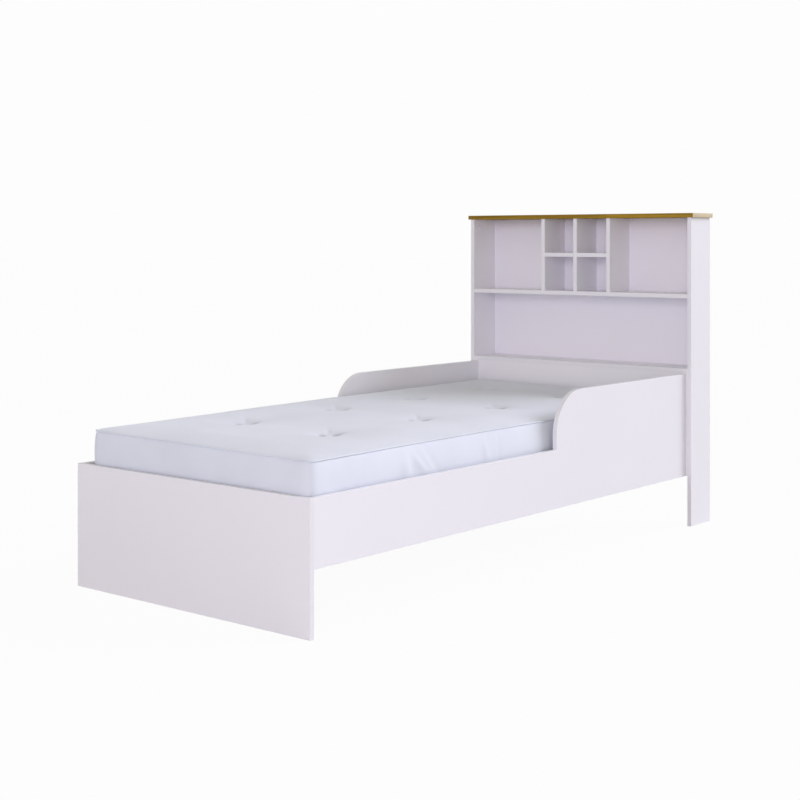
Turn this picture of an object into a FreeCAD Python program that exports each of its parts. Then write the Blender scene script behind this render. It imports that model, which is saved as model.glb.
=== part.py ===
import FreeCAD, Part
import math
import os
import re

import Sketcher

# A single bed with a bookcase headboard, made of white-faced 15 mm board.
#
# Frame: millimetres, +Z up. +Y runs from the foot to the headboard and +X to the sleeper's left.
# The origin is on the floor, under the middle of the whole bed's outline.
#
# The foot panel stands on the floor at one end and the headboard at the other. Two side rails
# join them, each one board with its guard: the guard is the raised stretch beside the pillow.
# Cleats on the rails carry the slats, and the mattress lies on the slats between the rails.
# The headboard is a bookcase: two sides, a wooden top, two shelves, a thin back and, under the
# main run of the top, four square cubbies made of two boards that cross with halved slots.

os.makedirs("parts", exist_ok=True)
doc = FreeCAD.newDocument("bookcase_headboard_bed")
V = FreeCAD.Vector

# Driving sizes, each set by itself. Everything else is worked out from these.
SIZES = [
    ("board_t", 15, "thickness of the white-faced boards"),
    ("mattress_width", 880, "mattress, side to side at its fullest"),
    ("mattress_length", 1880, "mattress, foot to head at its fullest"),
    ("mattress_t", 147, "mattress, bottom to the top of its crown"),
    ("mattress_seam", 126, "height of the upper seam above the mattress bottom"),
    ("mattress_corner", 55, "radius of the mattress corners, seen from above"),
    ("mattress_crown_reach", 228, "distance over which the top rises from its seam to its crown"),
    ("mattress_side_draw", 20, "how far the long sides pull in half way along"),
    ("mattress_end_draw", 4, "how far the two ends pull in half way across"),
    ("mattress_side_gap", 5, "room between the mattress and each rail"),
    ("mattress_foot_gap", 8, "room between the mattress and the foot panel"),
    ("mattress_head_gap", 20, "room between the mattress and the head panel"),
    ("mattress_sink", 40, "how far the mattress sits below the rails' top edge"),
    ("tuft_depth", 14, "depth of a sewn tuft at its middle"),
    ("tuft_reach", 62, "radius over which the cover is drawn down to a tuft"),
    ("tuft_across", 374, "distance between the two rows of tufts"),
    ("tuft_along", 422, "distance between tufts in a row"),
    ("tuft_shift", 35, "how far the tufts' middle lies from the mattress's, towards the head"),
    ("foot_height", 355, "height of the foot panel and of the rails' top edge"),
    ("rail_height", 180, "height of a rail board at its low stretch"),
    ("guard_gap", 3, "room between a guard's top edge and the lower shelf"),
    ("guard_length", 814, "length of a guard, back to the headboard's front"),
    ("guard_radius", 134, "radius of a guard's front corner"),
    ("headboard_height", 1095, "floor to the top of the wooden top"),
    ("headboard_depth", 138, "depth of the headboard's sides and shelves"),
    ("headboard_gap", 5, "gap between a rail's outer face and the headboard's side"),
    ("head_setback", 2, "how far the head panel stands behind the sides' front edges"),
    ("top_t", 15, "thickness of the wooden top"),
    ("top_side_overhang", 9, "overhang of the top past each side"),
    ("top_front_overhang", 5, "overhang of the top past the front edges"),
    ("lower_shelf_height", 550, "floor to the upper face of the lower shelf"),
    ("main_shelf_height", 811, "floor to the upper face of the main shelf"),
    ("cubby_width", 127, "clear width of a cubby"),
    ("back_t", 3, "thickness of the hardboard back"),
    ("back_inset", 2, "margin of the back inside the sides' outer faces"),
    ("lap_gap", 0.2, "play in the crossed slots of the cubbies"),
    ("cleat_w", 25, "width of a cleat, away from its rail"),
    ("cleat_height", 30, "height of a cleat"),
    ("cleat_end_gap", 3, "gap between a cleat's ends and the end panels"),
    ("slat_t", 15, "thickness of a slat"),
    ("slat_w", 70, "width of a slat"),
    ("slat_count", 13, "number of slats"),
    ("slat_margin", 25, "bare stretch before the first and after the last slat"),
    ("slat_end_gap", 2, "gap between a slat's end and the rail"),
    ("cam_d", 15, "bore of a cam lock"),
    ("cam_bore_depth", 12.5, "depth of a cam lock's bore"),
    ("cam_recess", 1, "how far a cam lock lies below the board's face"),
    ("cam_inset", 34, "cam lock's middle to the end of its board"),
    ("cam_edge", 35, "cam bolt's distance from a rail's lower or upper edge"),
    ("cam_front", 38, "cam bolt's distance from the headboard's front edge"),
    ("cam_play", 0.15, "play round a cam lock"),
    ("bolt_thread_d", 5, "diameter of a cam bolt's thread"),
    ("bolt_thread_length", 11, "length of a cam bolt's thread"),
    ("bolt_shank_d", 6, "diameter of a cam bolt's shank and head"),
    ("bolt_neck_d", 3.5, "diameter of a cam bolt's neck"),
    ("bolt_head_t", 4, "thickness of a cam bolt's head"),
    ("bolt_bore_d", 7, "bore in a board's edge for a cam bolt"),
    ("dowel_d", 8, "diameter of a beech dowel"),
    ("dowel_in_face", 9, "depth of a dowel in a board's face"),
    ("dowel_in_edge", 20, "depth of a dowel in a board's edge"),
    ("dowel_play", 0.05, "play round and past the end of a dowel"),
    ("dowel_back", 40, "dowel's distance from the headboard's rear edge"),
    ("screw_d", 4, "diameter of a cleat screw"),
    ("screw_head_d", 8, "diameter of a cleat screw's head"),
    ("screw_head_t", 2.4, "height of a cleat screw's head"),
    ("screw_bite", 11, "length of a cleat screw inside its rail"),
    ("screw_count", 6, "screws in each cleat"),
    ("screw_margin", 95, "first and last screw's distance from a cleat's end"),
    ("screw_drop", 18, "screw's distance below the top of its cleat"),
    ("brad_d", 2, "width of a slat's brad, corner to corner"),
    ("brad_bite", 18, "length of a brad inside its cleat"),
    ("nail_d", 1.8, "width of a nail in the back, corner to corner"),
    ("nail_bite", 15, "length of a nail behind the hardboard"),
    ("nail_margin", 45, "outer nails' distance from the edges that they are near"),
    ("nail_rows", 5, "nails along each side of the back"),
    ("nail_columns", 4, "nails along each shelf behind the back"),
    ("metal_play", 0.05, "play round a screw, a bolt's thread, a brad or a nail"),
]

sheet = doc.addObject("Spreadsheet::Sheet", "sizes")
for row, (alias, size, meaning) in enumerate(SIZES, start=1):
    sheet.set(f"A{row}", str(size))
    sheet.setAlias(f"A{row}", alias)
    sheet.set(f"B{row}", meaning)
doc.recompute()

# Places worked out from the sizes, each named once. A rule may use the rules above it.
RULES = {
    # along the bed, measured from the foot panel's outer face
    "foot_to_head": "board_t + mattress_foot_gap + mattress_length + mattress_head_gap",
    "foot_to_front": "foot_to_head - head_setback",
    "foot_to_rear": "foot_to_front + headboard_depth",
    "bed_length": "foot_to_rear + back_t",
    # along the bed, in the bed's own frame
    "foot_face": "0 - bed_length / 2",
    "foot_inside": "foot_face + board_t",
    "head_face": "foot_face + foot_to_head",
    "front": "foot_face + foot_to_front",
    "rear": "foot_face + foot_to_rear",
    "mid_depth": "front + headboard_depth / 2",
    "guard_front": "front - guard_length",
    # across the bed, as distances from the middle
    "inner_half": "mattress_width / 2 + mattress_side_gap",
    "outer_half": "inner_half + board_t",
    "shelf_half": "outer_half + headboard_gap",
    "side_half": "shelf_half + board_t",
    "divider_pitch": "cubby_width + board_t",
    "divider_inside": "divider_pitch - board_t / 2",
    # heights
    "rail_bottom": "foot_height - rail_height",
    "lower_shelf_bottom": "lower_shelf_height - board_t",
    "guard_top": "lower_shelf_bottom - guard_gap",
    "guard_corner": "min(guard_radius; guard_top - foot_height - guard_gap)",
    "main_shelf_bottom": "main_shelf_height - board_t",
    "top_bottom": "headboard_height - top_t",
    "cubby_shelf_bottom": "(main_shelf_height + top_bottom - board_t) / 2",
    "mattress_bottom": "foot_height - mattress_sink",
    "slat_bottom": "mattress_bottom - slat_t",
    "cleat_bottom": "slat_bottom - cleat_height",
    "slat_run": "foot_to_head - board_t - 2 * slat_margin - slat_w",
    # fittings in the head panel's ends, clear of the rails' own
    "panel_lock_height": "lower_shelf_bottom - 2 * cam_edge",
    "panel_dowel_height": "rail_bottom + (cam_edge + rail_height / 2) / 2",
}
# A word in a rule, but not a function's name.
WORD = re.compile(r"\b[a-z][a-z_]*\b(?!\()")


def expression(rule):
    """Spell a rule out as an expression on the sheet's cells."""
    def spell(match):
        word = match.group()
        return f"({expression(RULES[word])})" if word in RULES else f"sizes.{word}"
    return WORD.sub(spell, rule)


def value(rule):
    """The number that a rule gives."""
    return float(sheet.evalExpression(expression(rule)))


# ---- boards -------------------------------------------------------------------------------------

# Each way that a board can lie: its sketch plane, the sketch's two axes and its thickness axis.
PLANES = {"x": ("YZ_Plane", "yz"), "y": ("XZ_Plane", "xz"), "z": ("XY_Plane", "xy")}
# The upright plane across the bed faces the foot, so its own direction is -Y.
PLANE_SIGN = {"x": 1, "y": -1, "z": 1}

# Pins and bores stand on this many corners, on the circle of their nominal diameter. A corner
# points along each of the bed's axes, so that a pin and its bore always line up.
ROUND = 8
SQUARE = 4


class Board:
    """A board: an outline in the bed's frame, padded by a thickness and set at a place."""

    def __init__(self, name, axis, corners, start, thickness="board_t"):
        self.body = doc.addObject("PartDesign::Body", name)
        self.body.Label = name
        self.axis = axis
        self.start = start
        self.body.setExpression(f"Placement.Base.{axis}", expression(start))
        sketch = self.sketch(axis, "0")
        draw_outline(sketch, corners)
        pad = self.body.newObject("PartDesign::Pad", f"{name}_pad")
        pad.Profile = sketch
        pad.setExpression("Length", expression(thickness))
        pad.Reversed = PLANE_SIGN[axis] < 0
        doc.recompute()

    def sketch(self, axis, level):
        """A sketch square to an axis, on the body's own plane moved to a level."""
        plane = next(item for item in self.body.Origin.OriginFeatures
                     if item.Role == PLANES[axis][0])
        sketch = self.body.newObject("Sketcher::SketchObject", f"{self.body.Name}_sketch")
        sketch.AttachmentSupport = [(plane, "")]
        sketch.MapMode = "FlatFace"
        sketch.setExpression("AttachmentOffset.Base.z",
                             expression(f"{PLANE_SIGN[axis]} * ({level})"))
        return sketch

    def own(self, axis, rule):
        """A place in the bed's frame, told in the board's own frame."""
        return f"{rule} - ({self.start})" if axis == self.axis else rule

    def bore(self, axis, way, points, diameter, depth, corners=ROUND):
        """Drill holes that start at points on one level and run one way along an axis."""
        level = self.own(axis, points[0]["xyz".index(axis)])
        sketch = self.sketch(axis, level)
        for point in points:
            across, up = [self.own(name, point["xyz".index(name)]) for name in PLANES[axis][1]]
            draw_bore(sketch, across, up, diameter, corners)
        pocket = self.body.newObject("PartDesign::Pocket", f"{self.body.Name}_bore")
        pocket.Profile = sketch
        pocket.setExpression("Length", expression(depth))
        pocket.Reversed = way == PLANE_SIGN[axis]
        doc.recompute()
        bored = pocket.BaseFeature.Shape.Volume - pocket.Shape.Volume
        full = len(points) * value(diameter) ** 2 / 2 * value(depth)
        if bored < full / 2:
            raise RuntimeError(f"{self.body.Label}: a bore along {axis} misses the board")


def tie(sketch, item, point, across=None, up=None):
    """Hold a point of a sketch at distances from the sketch's own axes."""
    for kind, axis_line, rule in (("DistanceX", -2, across), ("DistanceY", -1, up)):
        if rule is None:
            continue
        if abs(value(rule)) < 1e-6:
            sketch.addConstraint(Sketcher.Constraint("PointOnObject", item, point, axis_line))
            continue
        size = Sketcher.Constraint(kind, -1, 1, item, point, value(rule))
        sketch.setExpression(f"Constraints[{sketch.addConstraint(size)}]", expression(rule))


def draw_bore(sketch, across, up, diameter, corners):
    """A regular outline whose corners lie on a construction circle. One corner is level."""
    middle = V(value(across), value(up), 0)
    radius = value(diameter) / 2
    circle = sketch.addGeometry(Part.Circle(middle, V(0, 0, 1), radius), True)
    turns = [2 * math.pi * corner / corners for corner in range(corners)]
    places = [middle + V(math.cos(turn), math.sin(turn), 0) * radius for turn in turns]
    edges = [sketch.addGeometry(Part.LineSegment(places[corner - 1], places[corner]))
             for corner in range(corners)]
    constraints = [Sketcher.Constraint("Horizontal", circle, 3, edges[0], 2)]
    for corner, edge in enumerate(edges):
        constraints.append(Sketcher.Constraint("Coincident", edge, 2, edges[corner - corners + 1],
                                               1))
        constraints.append(Sketcher.Constraint("PointOnObject", edge, 2, circle))
    for edge in edges[1:]:
        constraints.append(Sketcher.Constraint("Equal", edges[0], edge))
    sketch.addConstraint(constraints)
    size = Sketcher.Constraint("Diameter", circle, 2 * radius)
    sketch.setExpression(f"Constraints[{sketch.addConstraint(size)}]", expression(diameter))
    tie(sketch, circle, 3, across, up)


def draw_outline(sketch, corners):
    """A closed outline of level and upright edges. A corner's third entry is its radius."""
    places = [V(value(corner[0]), value(corner[1]), 0) for corner in corners]
    radii = [value(corner[2]) if len(corner) > 2 else 0 for corner in corners]
    count = len(corners)
    ways = []
    edges = []
    for number in range(count):
        following = (number + 1) % count
        way = (places[following] - places[number]).normalize()
        ways.append(way)
        begin = places[number] + way * radii[number]
        finish = places[following] - way * radii[following]
        edge = sketch.addGeometry(Part.LineSegment(begin, finish))
        edges.append(edge)
        if abs(way.x) > abs(way.y):
            sketch.addConstraint(Sketcher.Constraint("Horizontal", edge))
            tie(sketch, edge, 1, up=corners[number][1])
        else:
            sketch.addConstraint(Sketcher.Constraint("Vertical", edge))
            tie(sketch, edge, 1, across=corners[number][0])
    for number in range(count):
        before = edges[number - 1]
        after = edges[number]
        if not radii[number]:
            sketch.addConstraint(Sketcher.Constraint("Coincident", before, 2, after, 1))
            continue
        round_corner(sketch, before, after, places[number], ways[number - 1], ways[number],
                     radii[number], corners[number][2])


def round_corner(sketch, before, after, corner, way_in, way_out, radius, rule):
    """Join two square edges by a quarter circle that touches both."""
    middle = corner - way_in * radius + way_out * radius
    entry = corner - way_in * radius - middle
    leave = corner + way_out * radius - middle
    left_turn = way_in.cross(way_out).z > 0
    first, last = (entry, leave) if left_turn else (leave, entry)
    begin = math.atan2(first.y, first.x)
    circle = Part.Circle(middle, V(0, 0, 1), radius)
    arc = sketch.addGeometry(Part.ArcOfCircle(circle, begin, begin + math.pi / 2))
    entry_end, leave_end = (1, 2) if left_turn else (2, 1)
    sketch.addConstraint(Sketcher.Constraint("Tangent", before, 2, arc, entry_end))
    sketch.addConstraint(Sketcher.Constraint("Tangent", arc, leave_end, after, 1))
    size = Sketcher.Constraint("Radius", arc, radius)
    sketch.setExpression(f"Constraints[{sketch.addConstraint(size)}]", expression(rule))


def rectangle(left, right, low, high):
    return [(left, low), (right, low), (right, high), (left, high)]


# Left is -X and right is +X. The two rails, headboard sides and cleats are mirror images.
SIDES = {"left": "-1", "right": "1"}

foot_panel = Board("foot_panel", "y", rectangle("-1 * outer_half", "outer_half", "0",
                                                "foot_height"), "foot_face")
head_panel = Board("head_panel", "y", rectangle("-1 * shelf_half", "shelf_half", "rail_bottom",
                                                "lower_shelf_bottom"), "head_face")
back_panel = Board("back_panel", "y", rectangle("-1 * (side_half - back_inset)",
                                                "side_half - back_inset", "lower_shelf_bottom",
                                                "top_bottom"), "rear", "back_t")

RAIL_OUTLINE = [
    ("foot_inside", "rail_bottom"),
    ("head_face", "rail_bottom"),
    ("head_face", "guard_top"),
    ("guard_front", "guard_top", "guard_corner"),
    ("guard_front", "foot_height"),
    ("foot_inside", "foot_height"),
]
rails = {}
headboard_sides = {}
cleats = {}
for side, sign in SIDES.items():
    near_face = "-1 * outer_half" if side == "left" else "inner_half"
    rails[side] = Board(f"side_rail_{side}", "x", RAIL_OUTLINE, near_face)
    near_face = "-1 * side_half" if side == "left" else "shelf_half"
    headboard_sides[side] = Board(f"headboard_side_{side}", "x",
                                  rectangle("front", "rear", "0", "top_bottom"), near_face)
    near_face = "-1 * inner_half" if side == "left" else "inner_half - cleat_w"
    cleats[side] = Board(f"slat_cleat_{side}", "x",
                         rectangle("foot_inside + cleat_end_gap", "head_face - cleat_end_gap",
                                   "cleat_bottom", "slat_bottom"), near_face, "cleat_w")

headboard_top = Board("headboard_top", "z",
                      rectangle("-1 * (side_half + top_side_overhang)",
                                "side_half + top_side_overhang",
                                "front - top_front_overhang", "rear + back_t"),
                      "top_bottom", "top_t")
SHELF_OUTLINE = rectangle("-1 * shelf_half", "shelf_half", "front", "rear")
main_shelf = Board("main_shelf", "z", SHELF_OUTLINE, "main_shelf_bottom")
lower_shelf = Board("lower_shelf", "z", SHELF_OUTLINE, "lower_shelf_bottom")

# The outer cubby dividers are plain. The middle one is slotted from behind, so that its front
# edge runs through unbroken, and the cubby shelf is slotted from the front to slide over it.
DIVIDER_OUTLINE = rectangle("front", "rear", "main_shelf_height", "top_bottom")
MIDDLE_OUTLINE = [
    ("front", "main_shelf_height"),
    ("rear", "main_shelf_height"),
    ("rear", "cubby_shelf_bottom - lap_gap / 2"),
    ("mid_depth - lap_gap / 2", "cubby_shelf_bottom - lap_gap / 2"),
    ("mid_depth - lap_gap / 2", "cubby_shelf_bottom + board_t + lap_gap / 2"),
    ("rear", "cubby_shelf_bottom + board_t + lap_gap / 2"),
    ("rear", "top_bottom"),
    ("front", "top_bottom"),
]
CUBBY_SHELF_OUTLINE = [
    ("-1 * divider_inside", "front"),
    ("-1 * (board_t + lap_gap) / 2", "front"),
    ("-1 * (board_t + lap_gap) / 2", "mid_depth + lap_gap / 2"),
    ("(board_t + lap_gap) / 2", "mid_depth + lap_gap / 2"),
    ("(board_t + lap_gap) / 2", "front"),
    ("divider_inside", "front"),
    ("divider_inside", "rear"),
    ("-1 * divider_inside", "rear"),
]
dividers = {
    "left": Board("cubby_divider_left", "x", DIVIDER_OUTLINE, "0 - divider_pitch - board_t / 2"),
    "middle": Board("cubby_divider_middle", "x", MIDDLE_OUTLINE, "0 - board_t / 2"),
    "right": Board("cubby_divider_right", "x", DIVIDER_OUTLINE, "divider_pitch - board_t / 2"),
}
cubby_shelf = Board("cubby_shelf", "z", CUBBY_SHELF_OUTLINE, "cubby_shelf_bottom")

slats = []
for number in range(int(value("slat_count"))):
    slat_front = f"foot_inside + slat_margin + slat_run * {number} / (slat_count - 1)"
    outline = rectangle("-1 * (inner_half - slat_end_gap)", "inner_half - slat_end_gap",
                        slat_front, f"{slat_front} + slat_w")
    slats.append(Board(f"slat_{number + 1:02d}", "z", outline, "slat_bottom", "slat_t"))

# ---- joints between the boards -------------------------------------------------------------------

# Every joint drills both of its boards and notes where its fittings go, from the same points.
AXES = {"x": V(1, 0, 0), "y": V(0, 1, 0), "z": V(0, 0, 1)}
cam_locks = {}
cam_bolts = {}
cam_caps = []
dowels = {}
cleat_screws = []
slat_brads = []
back_nails = []


def moved(point, axis, distance):
    """A point moved by a rule along one axis."""
    place = list(point)
    place["xyz".index(axis)] = f"{place['xyz'.index(axis)]} + {distance}"
    return tuple(place)


def set_at(point, axis, level):
    """A point with one of its three coordinates replaced."""
    place = list(point)
    place["xyz".index(axis)] = level
    return tuple(place)


def cam_joint(group, face_board, edge_board, axis, way, points, cam_axis, cam_way, cam_level,
              capped=False):
    """Cam bolts stand in one board's face and run into the end of another board.

    way is the bolts' direction along axis, into the end. The locks sit in bores that start at
    cam_level on the second board's face and run cam_way along cam_axis.
    """
    face_board.bore(axis, -way, points, "bolt_thread_d + 2 * metal_play", "bolt_thread_length")
    edge_board.bore(axis, way, points, "bolt_bore_d", "cam_inset")
    locks = [set_at(moved(point, axis, f"{way} * cam_inset"), cam_axis, cam_level)
             for point in points]
    edge_board.bore(cam_axis, cam_way, locks, "cam_d", "cam_bore_depth")
    cam_bolts.setdefault(group, []).extend((point, AXES[axis] * way) for point in points)
    cam_locks.setdefault(group, []).extend(
        (point, AXES[cam_axis] * -cam_way, AXES[axis] * -way) for point in locks)
    if capped:
        cam_caps.extend((point, AXES[cam_axis] * -cam_way) for point in locks)


def dowel_joint(group, face_board, edge_board, axis, way, points):
    """Dowels stand in one board's face and run one way along an axis into another's edge."""
    face_board.bore(axis, -way, points, "dowel_d + 2 * dowel_play", "dowel_in_face + dowel_play")
    edge_board.bore(axis, way, points, "dowel_d + 2 * dowel_play", "dowel_in_edge + dowel_play")
    dowels.setdefault(group, []).extend((point, AXES[axis] * way) for point in points)


RAIL_BOLT_HEIGHTS = ("rail_bottom + cam_edge", "foot_height - cam_edge")
SHELF_CAM_DEPTH = "front + cam_front"
SHELF_DOWEL_DEPTH = "rear - dowel_back"

for side, sign in SIDES.items():
    outward = int(sign)
    # rails to the foot panel and to the head panel
    rail_middle = f"{sign} * (inner_half + board_t / 2)"
    rail_inside = f"{sign} * inner_half"
    for end_board, level, way in ((foot_panel, "foot_inside", 1), (head_panel, "head_face", -1)):
        bolts = [(rail_middle, level, height) for height in RAIL_BOLT_HEIGHTS]
        cam_joint("rail", end_board, rails[side], "y", way, bolts, "x", outward, rail_inside)
        middle = (rail_middle, level, "(rail_bottom + foot_height) / 2")
        dowel_joint("rail", end_board, rails[side], "y", way, [middle])

    # head panel to the headboard's side: one lock, with a dowel below it
    seat = f"{sign} * shelf_half"
    panel_middle = "head_face + board_t / 2"
    cam_joint("headboard", headboard_sides[side], head_panel, "x", -outward,
              [(seat, panel_middle, "panel_lock_height")], "y", -1, "head_face + board_t")
    dowel_joint("headboard", headboard_sides[side], head_panel, "x", -outward,
                [(seat, panel_middle, "panel_dowel_height")])

    # shelves to the headboard's side: a lock from below near the front, a dowel near the rear
    for shelf, bottom in ((main_shelf, "main_shelf_bottom"), (lower_shelf, "lower_shelf_bottom")):
        shelf_middle = f"{bottom} + board_t / 2"
        cam_joint("headboard", headboard_sides[side], shelf, "x", -outward,
                  [(seat, SHELF_CAM_DEPTH, shelf_middle)], "z", 1, bottom, capped=True)
        dowel_joint("headboard", headboard_sides[side], shelf, "x", -outward,
                    [(seat, SHELF_DOWEL_DEPTH, shelf_middle)])

    # the wooden top onto the headboard's side
    side_middle = f"{sign} * (shelf_half + board_t / 2)"
    cam_joint("headboard", headboard_top, headboard_sides[side], "z", -1,
              [(side_middle, SHELF_CAM_DEPTH, "top_bottom")], "x", outward, seat, capped=True)
    dowel_joint("headboard", headboard_top, headboard_sides[side], "z", -1,
                [(side_middle, SHELF_DOWEL_DEPTH, "top_bottom")])

    # cubby shelf to the outer divider
    divider_face = f"{sign} * divider_inside"
    dowel_joint("cubby", dividers[side], cubby_shelf, "x", -outward,
                [(divider_face, SHELF_DOWEL_DEPTH, "cubby_shelf_bottom + board_t / 2")])

# dividers between the main shelf and the top
DIVIDER_PLACES = {"left": "0 - divider_pitch", "middle": "0", "right": "divider_pitch"}
for place, across in DIVIDER_PLACES.items():
    dowel_joint("cubby", main_shelf, dividers[place], "z", 1,
                [(across, SHELF_DOWEL_DEPTH, "main_shelf_height")])
    dowel_joint("cubby", headboard_top, dividers[place], "z", -1,
                [(across, SHELF_DOWEL_DEPTH, "top_bottom")])

# cleats screwed to the rails, from inside the bed
CLEAT_RUN = "foot_to_head - board_t - 2 * cleat_end_gap - 2 * screw_margin"
for side, sign in SIDES.items():
    heads = []
    for number in range(int(value("screw_count"))):
        along = (f"foot_inside + cleat_end_gap + screw_margin"
                 f" + ({CLEAT_RUN}) * {number} / (screw_count - 1)")
        heads.append((f"{sign} * (inner_half - cleat_w)", along, "slat_bottom - screw_drop"))
    seats = [set_at(head, "x", f"{sign} * inner_half") for head in heads]
    cleats[side].bore("x", int(sign), heads, "screw_d + 2 * metal_play", "cleat_w")
    rails[side].bore("x", int(sign), seats, "screw_d + 2 * metal_play", "screw_bite")
    cleat_screws.extend((head, AXES["x"] * int(sign)) for head in heads)

# one brad through each end of each slat, down into the cleat
for side, sign in SIDES.items():
    cleat_middle = f"{sign} * (inner_half - cleat_w / 2)"
    heads = []
    for number, slat in enumerate(slats):
        along = (f"foot_inside + slat_margin + slat_w / 2"
                 f" + slat_run * {number} / (slat_count - 1)")
        head = (cleat_middle, along, "mattress_bottom")
        slat.bore("z", -1, [head], "brad_d + 2 * metal_play", "slat_t", SQUARE)
        heads.append(head)
    seats = [set_at(head, "z", "slat_bottom") for head in heads]
    cleats[side].bore("z", -1, seats, "brad_d + 2 * metal_play", "brad_bite", SQUARE)
    slat_brads.extend((head, V(0, 0, -1)) for head in heads)


# the back nailed to the rear edges of the sides and shelves
def spread(low, high, count, number):
    """The place of one of several evenly spread points between two rules."""
    return f"{low} + ({high} - ({low})) * {number} / ({count} - 1)"


BACK_FACE = "rear + back_t"
nailed = []
for side, sign in SIDES.items():
    column = [(f"{sign} * (shelf_half + board_t / 2)", BACK_FACE,
               spread("lower_shelf_bottom + nail_margin", "top_bottom - nail_margin",
                      "nail_rows", number))
              for number in range(int(value("nail_rows")))]
    nailed.append((headboard_sides[side], column))
for shelf, bottom in ((main_shelf, "main_shelf_bottom"), (lower_shelf, "lower_shelf_bottom")):
    row = [(spread("-1 * (shelf_half - 2 * nail_margin)", "shelf_half - 2 * nail_margin",
                   "nail_columns", number), BACK_FACE, f"{bottom} + board_t / 2")
           for number in range(int(value("nail_columns")))]
    nailed.append((shelf, row))
for board, points in nailed:
    back_panel.bore("y", -1, points, "nail_d + 2 * metal_play", "back_t", SQUARE)
    board.bore("y", -1, [set_at(point, "y", "rear") for point in points],
               "nail_d + 2 * metal_play", "nail_bite", SQUARE)
    back_nails.extend((point, V(0, -1, 0)) for point in points)


# ---- fittings ------------------------------------------------------------------------------------

def polygon(diameter, level, corners):
    """A level outline whose corners lie on a circle about its own Z axis."""
    radius = diameter / 2
    points = [V(radius * math.cos(2 * math.pi * corner / corners),
                radius * math.sin(2 * math.pi * corner / corners), level)
              for corner in range(corners)]
    return Part.makePolygon(points + points[:1])


def pin(sections, corners=ROUND):
    """A straight fitting along its own +Z, from its sections' diameters, bottoms and tops."""
    solids = [Part.Face(polygon(diameter, low, corners)).extrude(V(0, 0, high - low))
              for diameter, low, high in sections]
    whole = solids[0]
    for solid in solids[1:]:
        whole = whole.fuse(solid)
    return whole.removeSplitter().Solids[0]


def cam_lock():
    """A cam lock. Its +Z leaves the board's face and its +X points at the bolt."""
    diameter = value("cam_d - 2 * cam_play")
    top = -value("cam_recess")
    lock = pin([(diameter, -value("cam_bore_depth"), top)])
    slot = value("bolt_shank_d + 4 * cam_play")
    mouth = Part.makeBox(diameter / 2 + slot, slot, slot,
                         V(-slot, -slot / 2, -value("board_t") / 2 - slot / 2))
    drive_length = value("cam_d") / 2
    drive_width = value("cam_d") / 10
    for length, width in ((drive_length, drive_width), (drive_width, drive_length)):
        mouth = mouth.fuse(Part.makeBox(length, width, drive_width,
                                        V(-length / 2, -width / 2, top - drive_width)))
    return lock.cut(mouth)


def cam_bolt():
    """A cam bolt, from its threaded end below the face up to its head in the lock."""
    shank = value("bolt_shank_d")
    head_top = value("cam_inset + bolt_head_t / 2")
    head_bottom = value("cam_inset - bolt_head_t / 2")
    shank_top = value("cam_inset - cam_d / 2")
    thread_bottom = value("metal_play - bolt_thread_length")
    return pin([(value("bolt_thread_d"), thread_bottom, 0), (shank, 0, shank_top),
                (value("bolt_neck_d"), shank_top, head_bottom), (shank, head_bottom, head_top)])


def cam_cap():
    """A white cap that closes a cam lock's bore, flush with the board's face."""
    return pin([(value("cam_d - 2 * cam_play"), -value("cam_recess"), 0)])


def dowel():
    return pin([(value("dowel_d"), -value("dowel_in_face"), value("dowel_in_edge"))])


def cleat_screw():
    """A screw: its head lies on the cleat's face and its shank runs up +Z."""
    return pin([(value("screw_head_d"), -value("screw_head_t"), 0),
                (value("screw_d"), 0, value("cleat_w + screw_bite - metal_play"))])


def set_out(name, piece, spots):
    """Copies of one fitting in one group. A spot is a point and a direction, or two."""
    placed = []
    for point, *directions in spots:
        place = V(*[value(rule) for rule in point])
        if len(directions) == 2:
            up, facing = directions
            turn = FreeCAD.Rotation(facing, up.cross(facing), up, "ZXY")
        else:
            turn = FreeCAD.Rotation(V(0, 0, 1), directions[0])
        copy = piece.copy()
        copy.Placement = FreeCAD.Placement(place, turn)
        placed.append(copy)
    group = doc.addObject("Part::Feature", name)
    group.Label = name
    group.Shape = Part.makeCompound(placed)
    group.Placement = FreeCAD.Placement()
    return group


fittings = []
for group in ("rail", "headboard"):
    fittings.append(set_out(f"{group}_cam_locks", cam_lock(), cam_locks[group]))
    fittings.append(set_out(f"{group}_cam_bolts", cam_bolt(), cam_bolts[group]))
fittings.append(set_out("cam_covers", cam_cap(), cam_caps))
for group, spots in dowels.items():
    fittings.append(set_out(f"{group}_dowels", dowel(), spots))
fittings.append(set_out("cleat_screws", cleat_screw(), cleat_screws))
nail = pin([(value("nail_d"), 0, value("back_t + nail_bite - metal_play"))], SQUARE)
fittings.append(set_out("back_nails", nail, back_nails))
brad = pin([(value("brad_d"), 0, value("slat_t + brad_bite - metal_play"))], SQUARE)
fittings.append(set_out("slat_brads", brad, slat_brads))


# ---- mattress ------------------------------------------------------------------------------------

# Rings between the upper seam and the flat middle of the crown, and round each tuft.
CROWN_STEPS = 6
TUFT_RINGS = 4
TUFT_CORNERS = 12


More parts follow.
